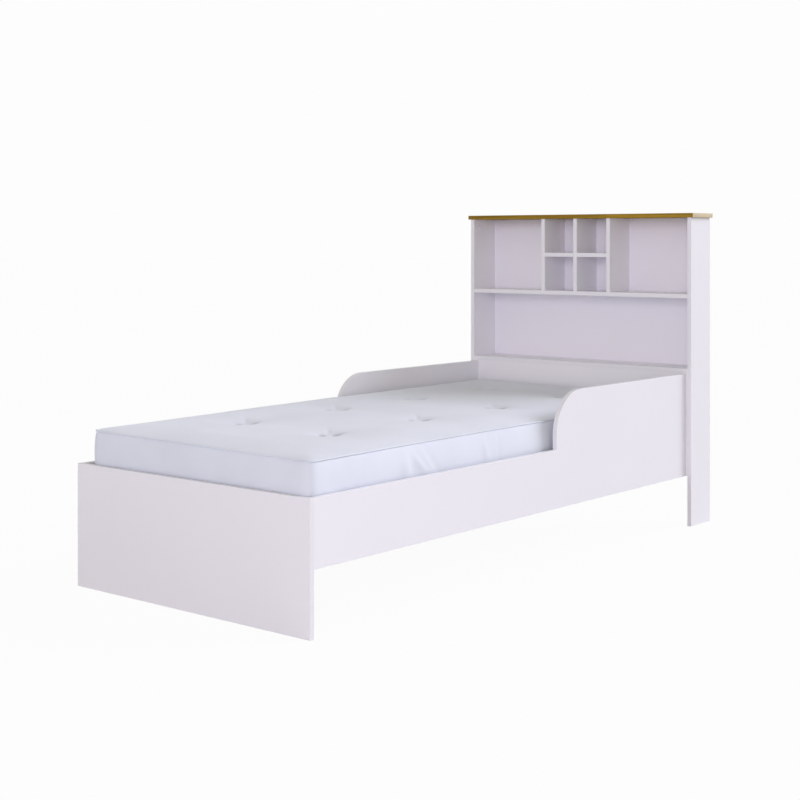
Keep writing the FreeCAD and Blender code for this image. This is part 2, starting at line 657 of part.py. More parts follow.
def mattress_ring(height, inset):
    """A level ring round the mattress: straight runs drawn in a little, and rounded corners."""
    half_width = value("mattress_width") / 2 - inset
    half_length = value("mattress_length") / 2 - inset
    radius = value("mattress_corner") * half_width / (half_width + inset)
    side_draw = value("mattress_side_draw")
    end_draw = value("mattress_end_draw")
    middle = value("foot_inside + mattress_foot_gap + mattress_length / 2")
    level = value("mattress_bottom") + height
    diagonal = radius * (1 - math.sqrt(0.5))

    def at(across, along):
        return V(across, middle + along, level)

    edges = []
    for sign_x, sign_y in ((1, 1), (-1, -1)):
        side_start = at(sign_x * half_width, -sign_y * (half_length - radius))
        side_middle = at(sign_x * (half_width - side_draw), 0)
        side_end = at(sign_x * half_width, sign_y * (half_length - radius))
        turn_middle = at(sign_x * (half_width - diagonal), sign_y * (half_length - diagonal))
        end_start = at(sign_x * (half_width - radius), sign_y * half_length)
        end_middle = at(0, sign_y * (half_length - end_draw))
        end_end = at(-sign_x * (half_width - radius), sign_y * half_length)
        next_turn = at(-sign_x * (half_width - diagonal), sign_y * (half_length - diagonal))
        next_start = at(-sign_x * half_width, sign_y * (half_length - radius))
        edges.append(Part.Arc(side_start, side_middle, side_end).toShape())
        edges.append(Part.Arc(side_end, turn_middle, end_start).toShape())
        edges.append(Part.Arc(end_start, end_middle, end_end).toShape())
        edges.append(Part.Arc(end_end, next_turn, next_start).toShape())
    return Part.Wire(edges)


def tuft_tool():
    """What a tuft takes away: a funnel whose wall curves over into the mattress's top."""
    depth = value("tuft_depth")
    reach = value("tuft_reach")
    rise = depth / 8
    rings = []
    for step in range(1, TUFT_RINGS + 1):
        share = step / TUFT_RINGS
        level = rise - (depth + rise) * (1 - share) ** 2
        rings.append(polygon(2 * reach * share, level, TUFT_CORNERS))
    rings.append(polygon(2 * reach, depth, TUFT_CORNERS))
    return Part.makeLoft([Part.Vertex(0, 0, -depth)] + rings, True, True)


def mattress_shape():
    """Full sides, an upper seam that draws them in, a low crown above it, and sewn tufts."""
    seam = value("mattress_seam")
    thickness = value("mattress_t")
    crown = thickness - seam
    seam_inset = crown * 0.75
    sides = [(0, seam_inset), (crown / 4, crown / 3), (crown, crown / 12), (seam / 2, 0),
             (seam - crown, crown / 12), (seam - crown / 4, crown / 3), (seam, seam_inset)]
    dome = []
    for step in range(1, CROWN_STEPS + 1):
        angle = math.pi / 2 * step / CROWN_STEPS
        inset = seam_inset + (1 - math.cos(angle)) * value("mattress_crown_reach")
        dome.append((seam + crown * math.sin(angle), inset))
    shape = Part.makeLoft([mattress_ring(*level) for level in sides + dome], True, True)
    middle = value("foot_inside + mattress_foot_gap + mattress_length / 2")
    top = value("mattress_bottom") + thickness
    spare = value("mattress_length") - 2 * value("tuft_reach")
    rows = int(spare // value("tuft_along"))
    for row in range(rows):
        along = middle + value("tuft_shift") + (row - (rows - 1) / 2) * value("tuft_along")
        for across in (-value("tuft_across") / 2, value("tuft_across") / 2):
            tool = tuft_tool()
            tool.translate(V(across, along, top))
            shape = shape.cut(tool)
    return shape


mattress = doc.addObject("Part::Feature", "mattress")
mattress.Label = "mattress"
mattress.Shape = mattress_shape()
mattress.Placement = FreeCAD.Placement()

# ---- check and write -----------------------------------------------------------------------------

doc.recompute()
for item in doc.Objects:
    if "Invalid" in item.State or "Error" in item.State:
        raise RuntimeError(f"{item.Label} failed: {item.State}")

boards = [foot_panel, head_panel, back_panel, headboard_top, main_shelf, lower_shelf, cubby_shelf]
for group in (rails, headboard_sides, cleats, dividers):
    boards.extend(group.values())
boards.extend(slats)
pieces = [board.body for board in boards] + fittings + [mattress]
facets = 0
for piece in pieces:
    if piece.Shape.isNull() or not piece.Shape.isValid():
        raise RuntimeError(f"{piece.Label} has no valid shape")
    facets += len(piece.Shape.tessellate(0.2)[1])
    piece.Shape.exportStep(f"parts/{piece.Label}.step")
print(f"{len(pieces)} nodes, {sum(len(piece.Shape.Solids) for piece in pieces)} solids,"
      f" about {facets} facets")
print(f"length {value('bed_length'):.1f} mm, width {2 * value('side_half + top_side_overhang'):.1f} mm,"
      f" height {value('headboard_height'):.1f} mm")
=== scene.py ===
# %% [markdown]
# # A bed with a bookcase headboard
#
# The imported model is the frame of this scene: every board, slat and fitting is already there, in
# metres, with +Z up and +Y from the foot panel to the headboard. The scene dresses it. It eases
# the boards' edges, gives each piece the material that the real one has, and sews a mattress.

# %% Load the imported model
import math

import bmesh
import bpy
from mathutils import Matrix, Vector, noise


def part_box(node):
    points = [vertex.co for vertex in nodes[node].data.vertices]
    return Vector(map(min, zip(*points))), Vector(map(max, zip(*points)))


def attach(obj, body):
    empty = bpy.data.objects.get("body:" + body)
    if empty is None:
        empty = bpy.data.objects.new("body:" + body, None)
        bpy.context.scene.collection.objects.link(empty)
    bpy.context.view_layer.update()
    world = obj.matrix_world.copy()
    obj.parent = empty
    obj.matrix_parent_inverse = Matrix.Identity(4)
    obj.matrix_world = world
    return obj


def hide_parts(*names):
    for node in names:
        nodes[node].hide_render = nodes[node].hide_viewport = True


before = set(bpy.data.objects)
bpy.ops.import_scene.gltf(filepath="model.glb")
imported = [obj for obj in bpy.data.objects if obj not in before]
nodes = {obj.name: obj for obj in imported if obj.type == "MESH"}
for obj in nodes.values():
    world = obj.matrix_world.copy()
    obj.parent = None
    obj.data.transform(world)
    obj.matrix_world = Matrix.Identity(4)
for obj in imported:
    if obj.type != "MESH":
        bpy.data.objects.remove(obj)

scene = bpy.context.scene
MM = 0.001
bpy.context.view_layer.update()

# %% [markdown]
# ## The camera
#
# A camera is a place, a direction and a lens. These were worked out from the corners of the
# boards in the photograph: the camera stands off the foot of the bed, about a metre high and
# quite level. Uprights then stay upright, and the lens is shifted instead of tipped.

# %% Camera
camera_data = bpy.data.cameras.new("camera")
camera_data.sensor_width = 36
camera_data.lens = 66.32
camera_data.shift_y = -0.20055
camera = bpy.data.objects.new("camera", camera_data)
camera.location = (2.9804, -3.7204, 1.0021)
camera.rotation_euler = (math.pi / 2, 0, 0.6920)
scene.collection.objects.link(camera)
scene.camera = camera
print("lens", camera_data.lens, "mm at", [round(n, 3) for n in camera.location])

# %% [markdown]
# ## Colours and nodes
#
# Colours are written as the sRGB hex values that a paint program shows. Blender's sockets take
# linear light, so one function turns the one into the other. A second function adds a shader
# node: settings go onto its properties or sockets, and links join its inputs to other nodes.
# Every material of the bed takes its colour from two tones and its relief from one texture, so
# two more functions build those.

# %% Helpers for materials
def linear(colour):
    """An sRGB hex colour as linear red, green, blue and alpha."""
    channels = [int(colour[start:start + 2], 16) / 255 for start in (1, 3, 5)]
    return [c / 12.92 if c <= 0.04045 else ((c + 0.055) / 1.055) ** 2.4 for c in channels] + [1]


def add(tree, kind, settings=(), links=()):
    """Add a node. Both are pairs: a property or socket with its value, an input with a source."""
    node = tree.nodes.new(kind)
    for key, value in dict(settings).items():
        if isinstance(key, int) or key in node.inputs:
            node.inputs[key].default_value = value
        else:
            setattr(node, key, value)
    for key, source in dict(links).items():
        tree.links.new(source, node.inputs[key])
    return node


def new_material(name):
    """An empty node material: its tree, and its surface to link at the end."""
    material = bpy.data.materials.new(name)
    material.use_nodes = True
    tree = material.node_tree
    tree.nodes.clear()
    return material, tree


def finish_material(tree, shader):
    """Link a shader to the material's output."""
    add(tree, "ShaderNodeOutputMaterial", links={"Surface": shader.outputs[0]})


def tones(tree, source, dark, light, start=0.0, end=1.0):
    """A colour that runs from dark to light while the source runs from start to end."""
    ramp = add(tree, "ShaderNodeValToRGB", links={"Fac": source})
    for element, place, colour in zip(ramp.color_ramp.elements, (start, end), (dark, light)):
        element.position = place
        element.color = colour
    return ramp.outputs["Color"]


def finish_surface(tree, colour, height, strength, depth_mm, settings):
    """Join a colour and a relief to the shader. The depth is the relief's, in millimetres."""
    bump = add(tree, "ShaderNodeBump", {"Strength": strength, "Distance": depth_mm * MM},
               {"Height": height})
    shader = add(tree, "ShaderNodeBsdfPrincipled", settings,
                 {"Base Color": colour, "Normal": bump.outputs["Normal"]})
    finish_material(tree, shader)


# %% [markdown]
# ## Melamine-faced board
#
# The white parts are particleboard or fibreboard faced with melamine: paper soaked in resin and
# pressed hot onto the board against a finely textured plate. That gives an even cool white with
# a satin gloss and a very fine grain. The plate's grain is about 0.3 mm, too fine to show from
# here, so it is drawn at 1.2 mm and kept shallow. A slow change of tone over half a metre keeps
# a large panel from looking like flat paint.

# %% White melamine
DARKER_TONE = 0.985


def white_board(name, colour, roughness, grain_mm, depth_mm):
    material, tree = new_material(name)
    place = add(tree, "ShaderNodeTexCoord")
    slow = add(tree, "ShaderNodeTexNoise", {"Scale": 2.2, "Detail": 2.0},
               {"Vector": place.outputs["Object"]})
    darker = [channel * DARKER_TONE for channel in linear(colour)[:3]] + [1]
    tone = tones(tree, slow.outputs["Fac"], darker, linear(colour), start=0.3, end=0.7)
    grain = add(tree, "ShaderNodeTexNoise", {"Scale": 1 / (grain_mm * MM), "Detail": 3.0},
                {"Vector": place.outputs["Object"]})
    finish_surface(tree, tone, grain.outputs["Fac"], strength=0.5, depth_mm=depth_mm,
                   settings={"Roughness": roughness, "IOR": 1.5})
    return material


melamine = white_board("melamine_faced_board", "#EDECF0", roughness=0.42, grain_mm=1.2,
                       depth_mm=0.02)
edge_band = white_board("abs_edge_band", "#E9E8EC", roughness=0.34, grain_mm=2.5, depth_mm=0.01)
print("made", melamine.name, "and", edge_band.name)

# %% [markdown]
# Where a bore opens a board, the raw particleboard shows: glued chips a few millimetres long, in
# several browns, rough and without gloss. A Voronoi texture cuts space into cells like chips, and
# each cell gets its own brown.

# %% Raw particleboard
def particleboard():
    material, tree = new_material("raw_particleboard")
    place = add(tree, "ShaderNodeTexCoord")
    chips = add(tree, "ShaderNodeTexVoronoi", {"Scale": 1 / (2.0 * MM)},
                {"Vector": place.outputs["Object"]})
    tone = tones(tree, chips.outputs["Color"], linear("#7A5C3A"), linear("#C9A877"))
    finish_surface(tree, tone, chips.outputs["Distance"], strength=0.8, depth_mm=0.3,
                   settings={"Roughness": 0.9, "IOR": 1.45})
    return material


raw_chips = particleboard()
print("made", raw_chips.name)

# %% [markdown]
# ## Easing the boards
#
# A real board has no knife edge. Its edge band is trimmed and scraped to a radius of about half a
# millimetre, and that thin rounding catches the light and draws every board's outline. The frame's
# meshes stay as they are, so each board is copied, its loose triangles are merged, and only its
# outer edges are bevelled. The faces are sorted first: a flat patch smaller than 200 square
# millimetres belongs to a bore, and the others are the board's two surfaces or its banded edges.
# Faces lie flush if they turn by less than about a degree. An edge is bevelled if its faces turn by
# more than 30 degrees, and stays sharp in the shading if they still turn by more than 50.

# %% Copy a board, sort its faces and ease its edges
SURFACE, EDGE, BORE = 0, 1, 2
SMALLEST_PATCH = 200 * MM ** 2
FLUSH = 0.9998
FACES_AXIS = 0.9
MERGE = 0.01 * MM
FLAT_TURN, BEVEL_TURN, SHARP_TURN = math.radians(0.5), math.radians(30), math.radians(50)


def flat_patch(start):
    """All faces that lie flush with one face and join it."""
    patch = {start}
    waiting = [start]
    while waiting:
        face = waiting.pop()
        for edge in face.edges:
            for other in edge.link_faces:
                if other not in patch and other.normal.dot(start.normal) > FLUSH:
                    patch.add(other)
                    waiting.append(other)
    return patch


def sort_faces(shape, axis):
    """Give every face the material number of the surface, the banded edge or a bore."""
    unsorted = set(shape.faces)
    while unsorted:
        patch = flat_patch(next(iter(unsorted)))
        unsorted -= patch
        area = sum(face.calc_area() for face in patch)
        upright = abs(next(iter(patch)).normal[axis]) > FACES_AXIS
        kind = BORE if area < SMALLEST_PATCH else SURFACE if upright else EDGE
        for face in patch:
            face.material_index = kind


def eased_board(node, materials, radius=0.6 * MM):
    """A copy of a board with its outer edges rounded, which stands for the board."""
    shape = bmesh.new()
    shape.from_mesh(nodes[node].data)
    bmesh.ops.remove_doubles(shape, verts=shape.verts, dist=MERGE)
    shape.normal_update()
    low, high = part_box(node)
    sizes = [high[axis] - low[axis] for axis in range(3)]
    sort_faces(shape, sizes.index(min(sizes)))
    bmesh.ops.dissolve_limit(shape, angle_limit=FLAT_TURN, verts=shape.verts,
                             edges=shape.edges, delimit={"MATERIAL"})
    outer = [edge for edge in shape.edges
             if len(edge.link_faces) == 2 and edge.calc_face_angle() > BEVEL_TURN
             and all(face.material_index != BORE for face in edge.link_faces)]
    bmesh.ops.bevel(shape, geom=outer, offset=radius, segments=2, profile=0.5, affect="EDGES",
                    material=-1, clamp_overlap=True)
    for face in shape.faces:
        face.smooth = True
    for edge in shape.edges:
        edge.smooth = not (len(edge.link_faces) == 2
                           and edge.calc_face_angle() > SHARP_TURN)
    return add_piece(f"{node}_eased", shape, materials, "bed_frame", [node])


def add_piece(name, shape, materials, body, stands_for=()):
    """Turn a bmesh into a piece of the bed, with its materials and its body."""
    mesh = bpy.data.meshes.new(name)
    shape.to_mesh(mesh)
    shape.free()
    for material in materials:
        mesh.materials.append(material)
    piece = bpy.data.objects.new(name, mesh)
    scene.collection.objects.link(piece)
    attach(piece, body)
    if stands_for:
        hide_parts(*stands_for)
    return piece


white_boards = [name for name in nodes
                if name in ("foot_panel", "head_panel", "main_shelf", "lower_shelf", "cubby_shelf")
                or name.startswith(("side_rail", "headboard_side", "cubby_divider"))]
for name in white_boards:
    piece = eased_board(name, [melamine, edge_band, raw_chips])
    weighted = piece.modifiers.new("even_shading", "WEIGHTED_NORMAL")
    weighted.keep_sharp = True
    print(name, len(piece.data.polygons), "faces")

# %% [markdown]
# ## The back
#
# The back is 3 mm hardboard: wood fibre pressed hot into a hard sheet. The side that faces the
# shelves is lacquered white. The side that faces the wall is left bare and brown, because nobody
# sees it in use. Short fibres lie flat in it every way, so its tone is a fine noise.

# %% Hardboard back
lacquer = white_board("lacquered_hardboard", "#EBE9F0", roughness=0.5, grain_mm=1.5,
                      depth_mm=0.02)


def bare_hardboard():
    material, tree = new_material("bare_hardboard")
    place = add(tree, "ShaderNodeTexCoord")
    fibre = add(tree, "ShaderNodeTexNoise", {"Scale": 1 / (1.6 * MM), "Detail": 6.0,
                                             "Roughness": 0.7}, {"Vector": place.outputs["Object"]})
    tone = tones(tree, fibre.outputs["Fac"], linear("#6E5236"), linear("#94744C"),
                 start=0.3, end=0.75)
    finish_surface(tree, tone, fibre.outputs["Fac"], strength=0.6, depth_mm=0.1,
                   settings={"Roughness": 0.62, "IOR": 1.45})
    return material


hardboard = bare_hardboard()
back = eased_board("back_panel", [lacquer, hardboard, hardboard], 0.3 * MM)
for face in back.data.polygons:
    if face.material_index == SURFACE and face.normal.y > FACES_AXIS:
        face.material_index = EDGE
print("back:", len(back.data.polygons), "faces")

# %% [markdown]
# ## The wooden top
#
# The top is the one piece with a wood finish: a honey-coloured foil with a printed grain that
# runs along the bed head, over the same 15 mm board, with a pale band on its two ends. Growth
# rings cut lengthwise show as long, slightly wavy lines. They come from a noise that is
# stretched along X, so that it changes every few millimetres across the grain and only over
# decimetres along it. A second, finer one draws the pores.

# %% Honey wood foil and its pale end band
def wood(name, dark, light, along, ring_mm, roughness):
    """Grain that runs along one axis: 0 for X, 1 for Y, 2 for Z."""
    material, tree = new_material(name)
    place = add(tree, "ShaderNodeTexCoord")
    stretch = [1.0, 1.0, 1.0]
    stretch[along] = 0.03
    grain_space = add(tree, "ShaderNodeMapping", {"Scale": stretch},
                      {"Vector": place.outputs["Object"]})
    rings = add(tree, "ShaderNodeTexNoise", {"Scale": 1 / (ring_mm * MM), "Detail": 4.0,
                                             "Distortion": 0.6},
                {"Vector": grain_space.outputs["Vector"]})
    pores = add(tree, "ShaderNodeTexNoise", {"Scale": 1 / (1.2 * MM), "Detail": 2.0},
                {"Vector": grain_space.outputs["Vector"]})
    both = add(tree, "ShaderNodeMath", {"operation": "MULTIPLY_ADD", 1: 0.25},
               {0: pores.outputs["Fac"], 2: rings.outputs["Fac"]})
    tone = tones(tree, both.outputs[0], linear(dark), linear(light), start=0.42, end=0.82)
    finish_surface(tree, tone, both.outputs[0], strength=0.4, depth_mm=0.05,
                   settings={"Roughness": roughness, "IOR": 1.3})
    return material


honey_foil = wood("honey_wood_foil", "#765A10", "#AA8622", along=0, ring_mm=9, roughness=0.55)
end_foil = wood("pale_end_band", "#CAB991", "#DCD0B1", along=1, ring_mm=5, roughness=0.5)
top = eased_board("headboard_top", [honey_foil, honey_foil, raw_chips], 0.5 * MM)
END_BAND = len(top.data.materials)
top.data.materials.append(end_foil)
for face in top.data.polygons:
    if face.material_index == EDGE and abs(face.normal.x) > FACES_AXIS:
        face.material_index = END_BAND
print("top:", len(top.data.polygons), "faces")

# %% [markdown]
# ## Pine slats and cleats
#
# The slats and the cleats that carry them are planed pine, left bare: pale yellow with darker
# late wood every 3 to 6 mm. The slats' grain runs across the bed and the cleats' along it.

# %% Bare pine
pine_across = wood("planed_pine_slat", "#CDA976", "#E8D1A6", along=0, ring_mm=6, roughness=0.6)
pine_along = wood("planed_pine_cleat", "#CBA672", "#E5CDA1", along=1, ring_mm=6, roughness=0.6)
for name in sorted(nodes):
    if name.startswith("slat_cleat"):
        eased_board(name, [pine_along, pine_along, pine_along], 1.0 * MM)
    elif name.startswith("slat_") and name != "slat_brads":
        eased_board(name, [pine_across, pine_across, pine_across], 1.5 * MM)
print("slats and cleats in pine")

# %% [markdown]
# ## Fittings
#
# The boards are joined by cam locks of die-cast zinc, bolts and screws of zinc-plated steel, and
# fluted beech dowels. Castings are dull and slightly grainy, plated steel is brighter, with a
# faint blue and yellow bloom left by the plating bath. Metal has no colour of its own beneath its
# reflections, so the base colour is the tint of its gloss.

# %% Metals, beech and plastic
def metal(name, tint, bloom, roughness, grain_mm):
    material, tree = new_material(name)
    place = add(tree, "ShaderNodeTexCoord")
    cloud = add(tree, "ShaderNodeTexNoise", {"Scale": 1 / (4 * MM), "Detail": 2.0},
                {"Vector": place.outputs["Object"]})
    tone = tones(tree, cloud.outputs["Fac"], linear(tint), linear(bloom), start=0.35, end=0.7)
    grain = add(tree, "ShaderNodeTexNoise", {"Scale": 1 / (grain_mm * MM), "Detail": 3.0},
                {"Vector": place.outputs["Object"]})
    finish_surface(tree, tone, grain.outputs["Fac"], strength=0.4, depth_mm=0.03,
                   settings={"Metallic": 1.0, "Roughness": roughness})
    return material


plated_steel = metal("zinc_plated_steel", "#B8BDC6", "#C9C5B4", roughness=0.3, grain_mm=0.6)
cast_zinc = metal("die_cast_zinc", "#9FA1A4", "#B0B1B1", roughness=0.48, grain_mm=0.35)
cap_plastic = white_board("moulded_cap_plastic", "#F0EFF2", roughness=0.36, grain_mm=0.8,
                          depth_mm=0.02)
dowel_beech = [wood(f"beech_dowel_{'xyz'[axis]}", "#B4875C", "#D8B88E", along=axis, ring_mm=2,
                    roughness=0.6) for axis in range(3)]

DRESSED = {"rail_cam_bolts": plated_steel, "headboard_cam_bolts": plated_steel,
           "back_nails": plated_steel, "slat_brads": plated_steel,
           "rail_dowels": dowel_beech[1], "headboard_dowels": dowel_beech[0],
           "cubby_dowels": dowel_beech[2]}
for name, material in DRESSED.items():
    nodes[name].material_slots[0].material = material
print(len(DRESSED), "fittings of the frame have their materials")

# %% [markdown]
# The frame's cam locks, caps and cleat screws are drawn with eight sides. What shows of them is
# round, so each is turned anew in the same place: a list of rings, each a radius at a depth below
# the top. A cross recess takes the screwdriver. The rails' locks sit 1 mm below the board's face.
# They and the caps have a thin rim that lies on the board round the bore. A rail's lock opens
# towards the middle of the bed, a shelf's lock downwards and the head panel's lock to the rear.

# %% Turn the round fittings
SIDES = 24
ROUND_TURN = math.radians(35)
ARM_SHARE = 0.28
RECESS_SHARE = 0.9


def loose_parts(node):
    """The low and the high corner of each loose part of a node."""
    shape = bmesh.new()
    shape.from_mesh(nodes[node].data)
    bmesh.ops.remove_doubles(shape, verts=shape.verts, dist=MERGE)
    unseen = set(shape.verts)
    while unseen:
        part = {unseen.pop()}
        waiting = list(part)
        while waiting:
            vert = waiting.pop()
            joined = {edge.other_vert(vert) for edge in vert.link_edges} - part
            part |= joined
            waiting += joined
        unseen -= part
        yield [Vector(pick(vert.co[axis] for vert in part) for axis in range(3))
               for pick in (min, max)]
    shape.free()


def turned(shape, top, outward, rings, cross):
    """Add one turned fitting to a shape. Rings are a radius and a depth in millimetres.

    The cross is the length of an arm of the screwdriver's recess, or 0 for a plain end.
    """
    turn = outward.to_track_quat("Z", "Y")

    def points(outline, depth):
        return [shape.verts.new(top + turn @ Vector((x, y, -depth)) * MM) for x, y in outline]

    def wall(upper, lower):
        for number in range(len(upper)):
            shape.faces.new((upper[number - 1], lower[number - 1], lower[number], upper[number]))

    turns = [2 * math.pi * number / SIDES for number in range(SIDES)]
    made = [points([(radius * math.cos(angle), radius * math.sin(angle)) for angle in turns],
                   depth) for radius, depth in rings]
    for upper, lower in zip(made, made[1:]):
        wall(upper, lower)
    shape.faces.new(made[-1])
    if not cross:
        shape.faces.new(made[0])
        return
    arm, half = cross, cross * ARM_SHARE
    quarter = [(arm, half), (half, half), (half, arm)]
    outline = quarter + [(-y, x) for x, y in quarter] + [(-x, -y) for x, y in quarter]
    outline += [(y, -x) for x, y in quarter]
    start = rings[0][1]
    rim, bottom = points(outline, start), points(outline, start + cross * RECESS_SHARE)
    wall(rim, bottom)
    shape.faces.new(bottom)
    edges = [shape.edges.get((loop[number - 1], loop[number])) for loop in (made[0], rim)
             for number in range(len(loop))]
    bmesh.ops.triangle_fill(shape, use_beauty=True, use_dissolve=False, edges=edges)


def round_fitting(node, material, rings, cross=0.0):
    """Turn every fitting of a node anew, and let the new piece stand for the node."""
    shape = bmesh.new()
    for low, high in loose_parts(node):
        size, middle = high - low, (low + high) / 2
        axis = max(range(3), key=lambda n: abs(size[n] - size[n - 1]) + abs(size[n] - size[n - 2]))
        outward = Vector((0, 0, 0))
        outward[axis] = (-math.copysign(1, middle.x), 1, -1)[axis]
        turned(shape, middle + outward * size[axis] / 2, outward, rings, cross)
    bmesh.ops.recalc_face_normals(shape, faces=shape.faces)
    for face in shape.faces:
        face.smooth = True
    for edge in shape.edges:
        edge.smooth = edge.calc_face_angle(0) < ROUND_TURN
    print(node, len(shape.faces), "faces")
    add_piece(f"{node}_turned", shape, [material], "bed_frame", [node])


round_fitting("rail_cam_locks", cast_zinc,
              [(7.9, -1.5), (8.3, -1.2), (8.3, -1), (7.3, -1), (7.3, 11.4)], 3.2)
round_fitting("headboard_cam_locks", cast_zinc,
              [(6.9, 0), (7.3, 0.4), (7.3, 11.4)], 3.2)
round_fitting("cam_covers", cap_plastic,
              [(7.8, -0.5), (8.3, -0.2), (8.3, 0), (7.3, 0), (7.3, 1)])
round_fitting("cleat_screws", plated_steel,
              [(3.8, 0), (4, 0.3), (2, 2.6), (2, 36), (0.6, 38.2)], 1.7)

# %% [markdown]
# ## The mattress
#
# The mattress is foam in a sewn cover: a top and a bottom panel of knitted ticking, joined to a
# side band by two piped seams, and tied through in two rows of tufts. The cover is laid out flat
# sided first, as squares of cloth, with rounded corners and a top that rises from its seam. Close
# to the seams the squares become narrow strips, so that the seams can be drawn in sharply later.

# %% The cover as squares of cloth
low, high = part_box("mattress")
MIDDLE = (low + high) / 2
SPARE = 4 * MM
HALF_X = (high.x - low.x) / 2 - SPARE
HALF_Y = (high.y - low.y) / 2 - SPARE
UPPER_SEAM = low.z + 126 * MM
LOWER_SEAM = low.z + 12 * MM
CORNER = 24 * MM
SLOPE = 52 * MM
SQUARE = 11 * MM
STRIPS = (0, 2 * MM, 5 * MM, 9 * MM)
TOP_RISE = 8.5 * MM


def spaced(start, end):
    """Places from start to end: strips at both ends and squares between them."""
    inner = (end - start) - 2 * STRIPS[-1]
    count = round(inner / SQUARE)
    return ([start + strip for strip in STRIPS]
            + [start + STRIPS[-1] + inner * number / count for number in range(1, count)]
            + [end - strip for strip in reversed(STRIPS)])


def rounded(x, y):
    """Where a point of the rectangle goes when the rectangle's corners are rounded."""
    a = (abs(x) - (HALF_X - CORNER)) / CORNER
    b = (abs(y) - (HALF_Y - CORNER)) / CORNER
    if a <= 0 or b <= 0:
        return x, y
    return (math.copysign(HALF_X - CORNER + CORNER * a * math.sqrt(1 - b * b / 2), x),
            math.copysign(HALF_Y - CORNER + CORNER * b * math.sqrt(1 - a * a / 2), y))


def from_edge(x, y):
    """How far inside the rounded rectangle a point lies."""
    a, b = abs(x) - (HALF_X - CORNER), abs(y) - (HALF_Y - CORNER)
    return CORNER - math.hypot(max(a, 0), max(b, 0)) - min(0, max(a, b))


def cover_shape():
    """The cover's squares. Points are kept by their row, column and level in the box."""
    across, along = spaced(-HALF_X, HALF_X), spaced(-HALF_Y, HALF_Y)
    levels = spaced(LOWER_SEAM, UPPER_SEAM)
    shape = bmesh.new()
    made = {}

    def point(i, j, k):
        if (i, j, k) not in made:
            x, y = rounded(across[i], along[j])
            z = levels[k]
            slope = 1 - min(1, from_edge(x, y) / SLOPE)
            if k == len(levels) - 1:
                z += TOP_RISE * (1 - slope ** 2)
            if k == 0:
                z -= (LOWER_SEAM - low.z) * (1 - slope ** 4)
            made[i, j, k] = shape.verts.new((x, y, z))
        return made[i, j, k]

    def square(*corners):
        shape.faces.new([point(*corner) for corner in corners])

    right, head, top = len(across) - 1, len(along) - 1, len(levels) - 1
    for i in range(right):
        for j in range(head):
            square((i, j, top), (i + 1, j, top), (i + 1, j + 1, top), (i, j + 1, top))
            square((i, j, 0), (i, j + 1, 0), (i + 1, j + 1, 0), (i + 1, j, 0))
        for k in range(top):
            square((i, 0, k), (i + 1, 0, k), (i + 1, 0, k + 1), (i, 0, k + 1))
            square((i, head, k), (i, head, k + 1), (i + 1, head, k + 1), (i + 1, head, k))
    for j in range(head):
        for k in range(top):
            square((0, j, k), (0, j, k + 1), (0, j + 1, k + 1), (0, j + 1, k))
            square((right, j, k), (right, j + 1, k), (right, j + 1, k + 1), (right, j, k + 1))
    return shape


cover_mesh = bpy.data.meshes.new("cover")
shape = cover_shape()
shape.to_mesh(cover_mesh)
shape.free()
print("cover:", len(cover_mesh.polygons), "squares")

# %% [markdown]
# The cover is held at its two seams, on its underside, which lies on the slats, and at its eight
# ties. A cloth simulation with a little pressure then swells what isn't held. No point may move
# more than 8 mm, so that the mattress stays between its rails.

# %% Swell the cover
TIE_ROW = 170 * MM
TIES = [(side * TIE_ROW, y * MM) for y in (-581, -179, 216, 622) for side in (-1, 1)]
TIE_HOLD = 14 * MM
PRESSURE = 4
FRAMES = 20
CAP = 8 * MM


def is_held(point):
    """Whether a point of the cover stays where it is: at a seam, at a tie or on the slats."""
    at_edge = from_edge(point.x, point.y) < 1 * MM
    at_seam = at_edge and min(abs(point.z - UPPER_SEAM), abs(point.z - LOWER_SEAM)) < 3 * MM
    at_tie = point.z > UPPER_SEAM and any(math.hypot(point.x - x, point.y - y) < TIE_HOLD
                                          for x, y in TIES)
    return at_seam or at_tie or point.z < LOWER_SEAM


def evaluated_mesh(piece):
    """The piece's mesh with its modifiers applied."""
    graph = bpy.context.evaluated_depsgraph_get()
    return bpy.data.meshes.new_from_object(piece.evaluated_get(graph))


def swell(mesh):
    """Let the pressure fill the cover, and cap how far each point has moved."""
    cover = bpy.data.objects.new("cover", mesh)
    scene.collection.objects.link(cover)
    before = [vert.co.copy() for vert in mesh.vertices]
    held = [vert.index for vert in mesh.vertices if is_held(vert.co)]
    cover.vertex_groups.new(name="held").add(held, 1.0, "REPLACE")
    cloth = cover.modifiers.new("cover", "CLOTH")
    cloth.settings.quality = 5
    cloth.settings.mass = 0.3
    cloth.settings.use_pressure = True
    cloth.settings.uniform_pressure_force = PRESSURE
    cloth.settings.effector_weights.gravity = 0
    cloth.settings.vertex_group_mass = "held"
    cloth.settings.bending_stiffness = 1.5
    cloth.collision_settings.use_collision = False
    cloth.point_cache.frame_start = 1
    cloth.point_cache.frame_end = FRAMES
    for frame_number in range(1, FRAMES + 1):
        scene.frame_set(frame_number)
    swollen = evaluated_mesh(cover)
    bpy.data.objects.remove(cover)
    moved = 0.0
    for vert, start in zip(swollen.vertices, before):
        step = vert.co - start
        moved = max(moved, step.length)
        if step.length > CAP:
            step *= CAP / step.length
        vert.co = start + step
    scene.frame_set(1)
    print(len(held), "points held; the others moved up to", round(moved / MM, 1), "mm")
    return swollen


swollen_mesh = swell(cover_mesh)

# %% [markdown]
# A tie is one long stitch that lies on a slant: it goes down through the cover at two points,
# 36 mm apart. The cover between them stands up as a small bridge. One point is a short pit, and
# the other runs on as a valley. Around them the cover sinks into a broad, shallow bowl, and a
# crease slants off towards the head and the far side. Each is a depth, worked out from a point's
# place beside the tie. The lengths that have no unit beside them are in millimetres.

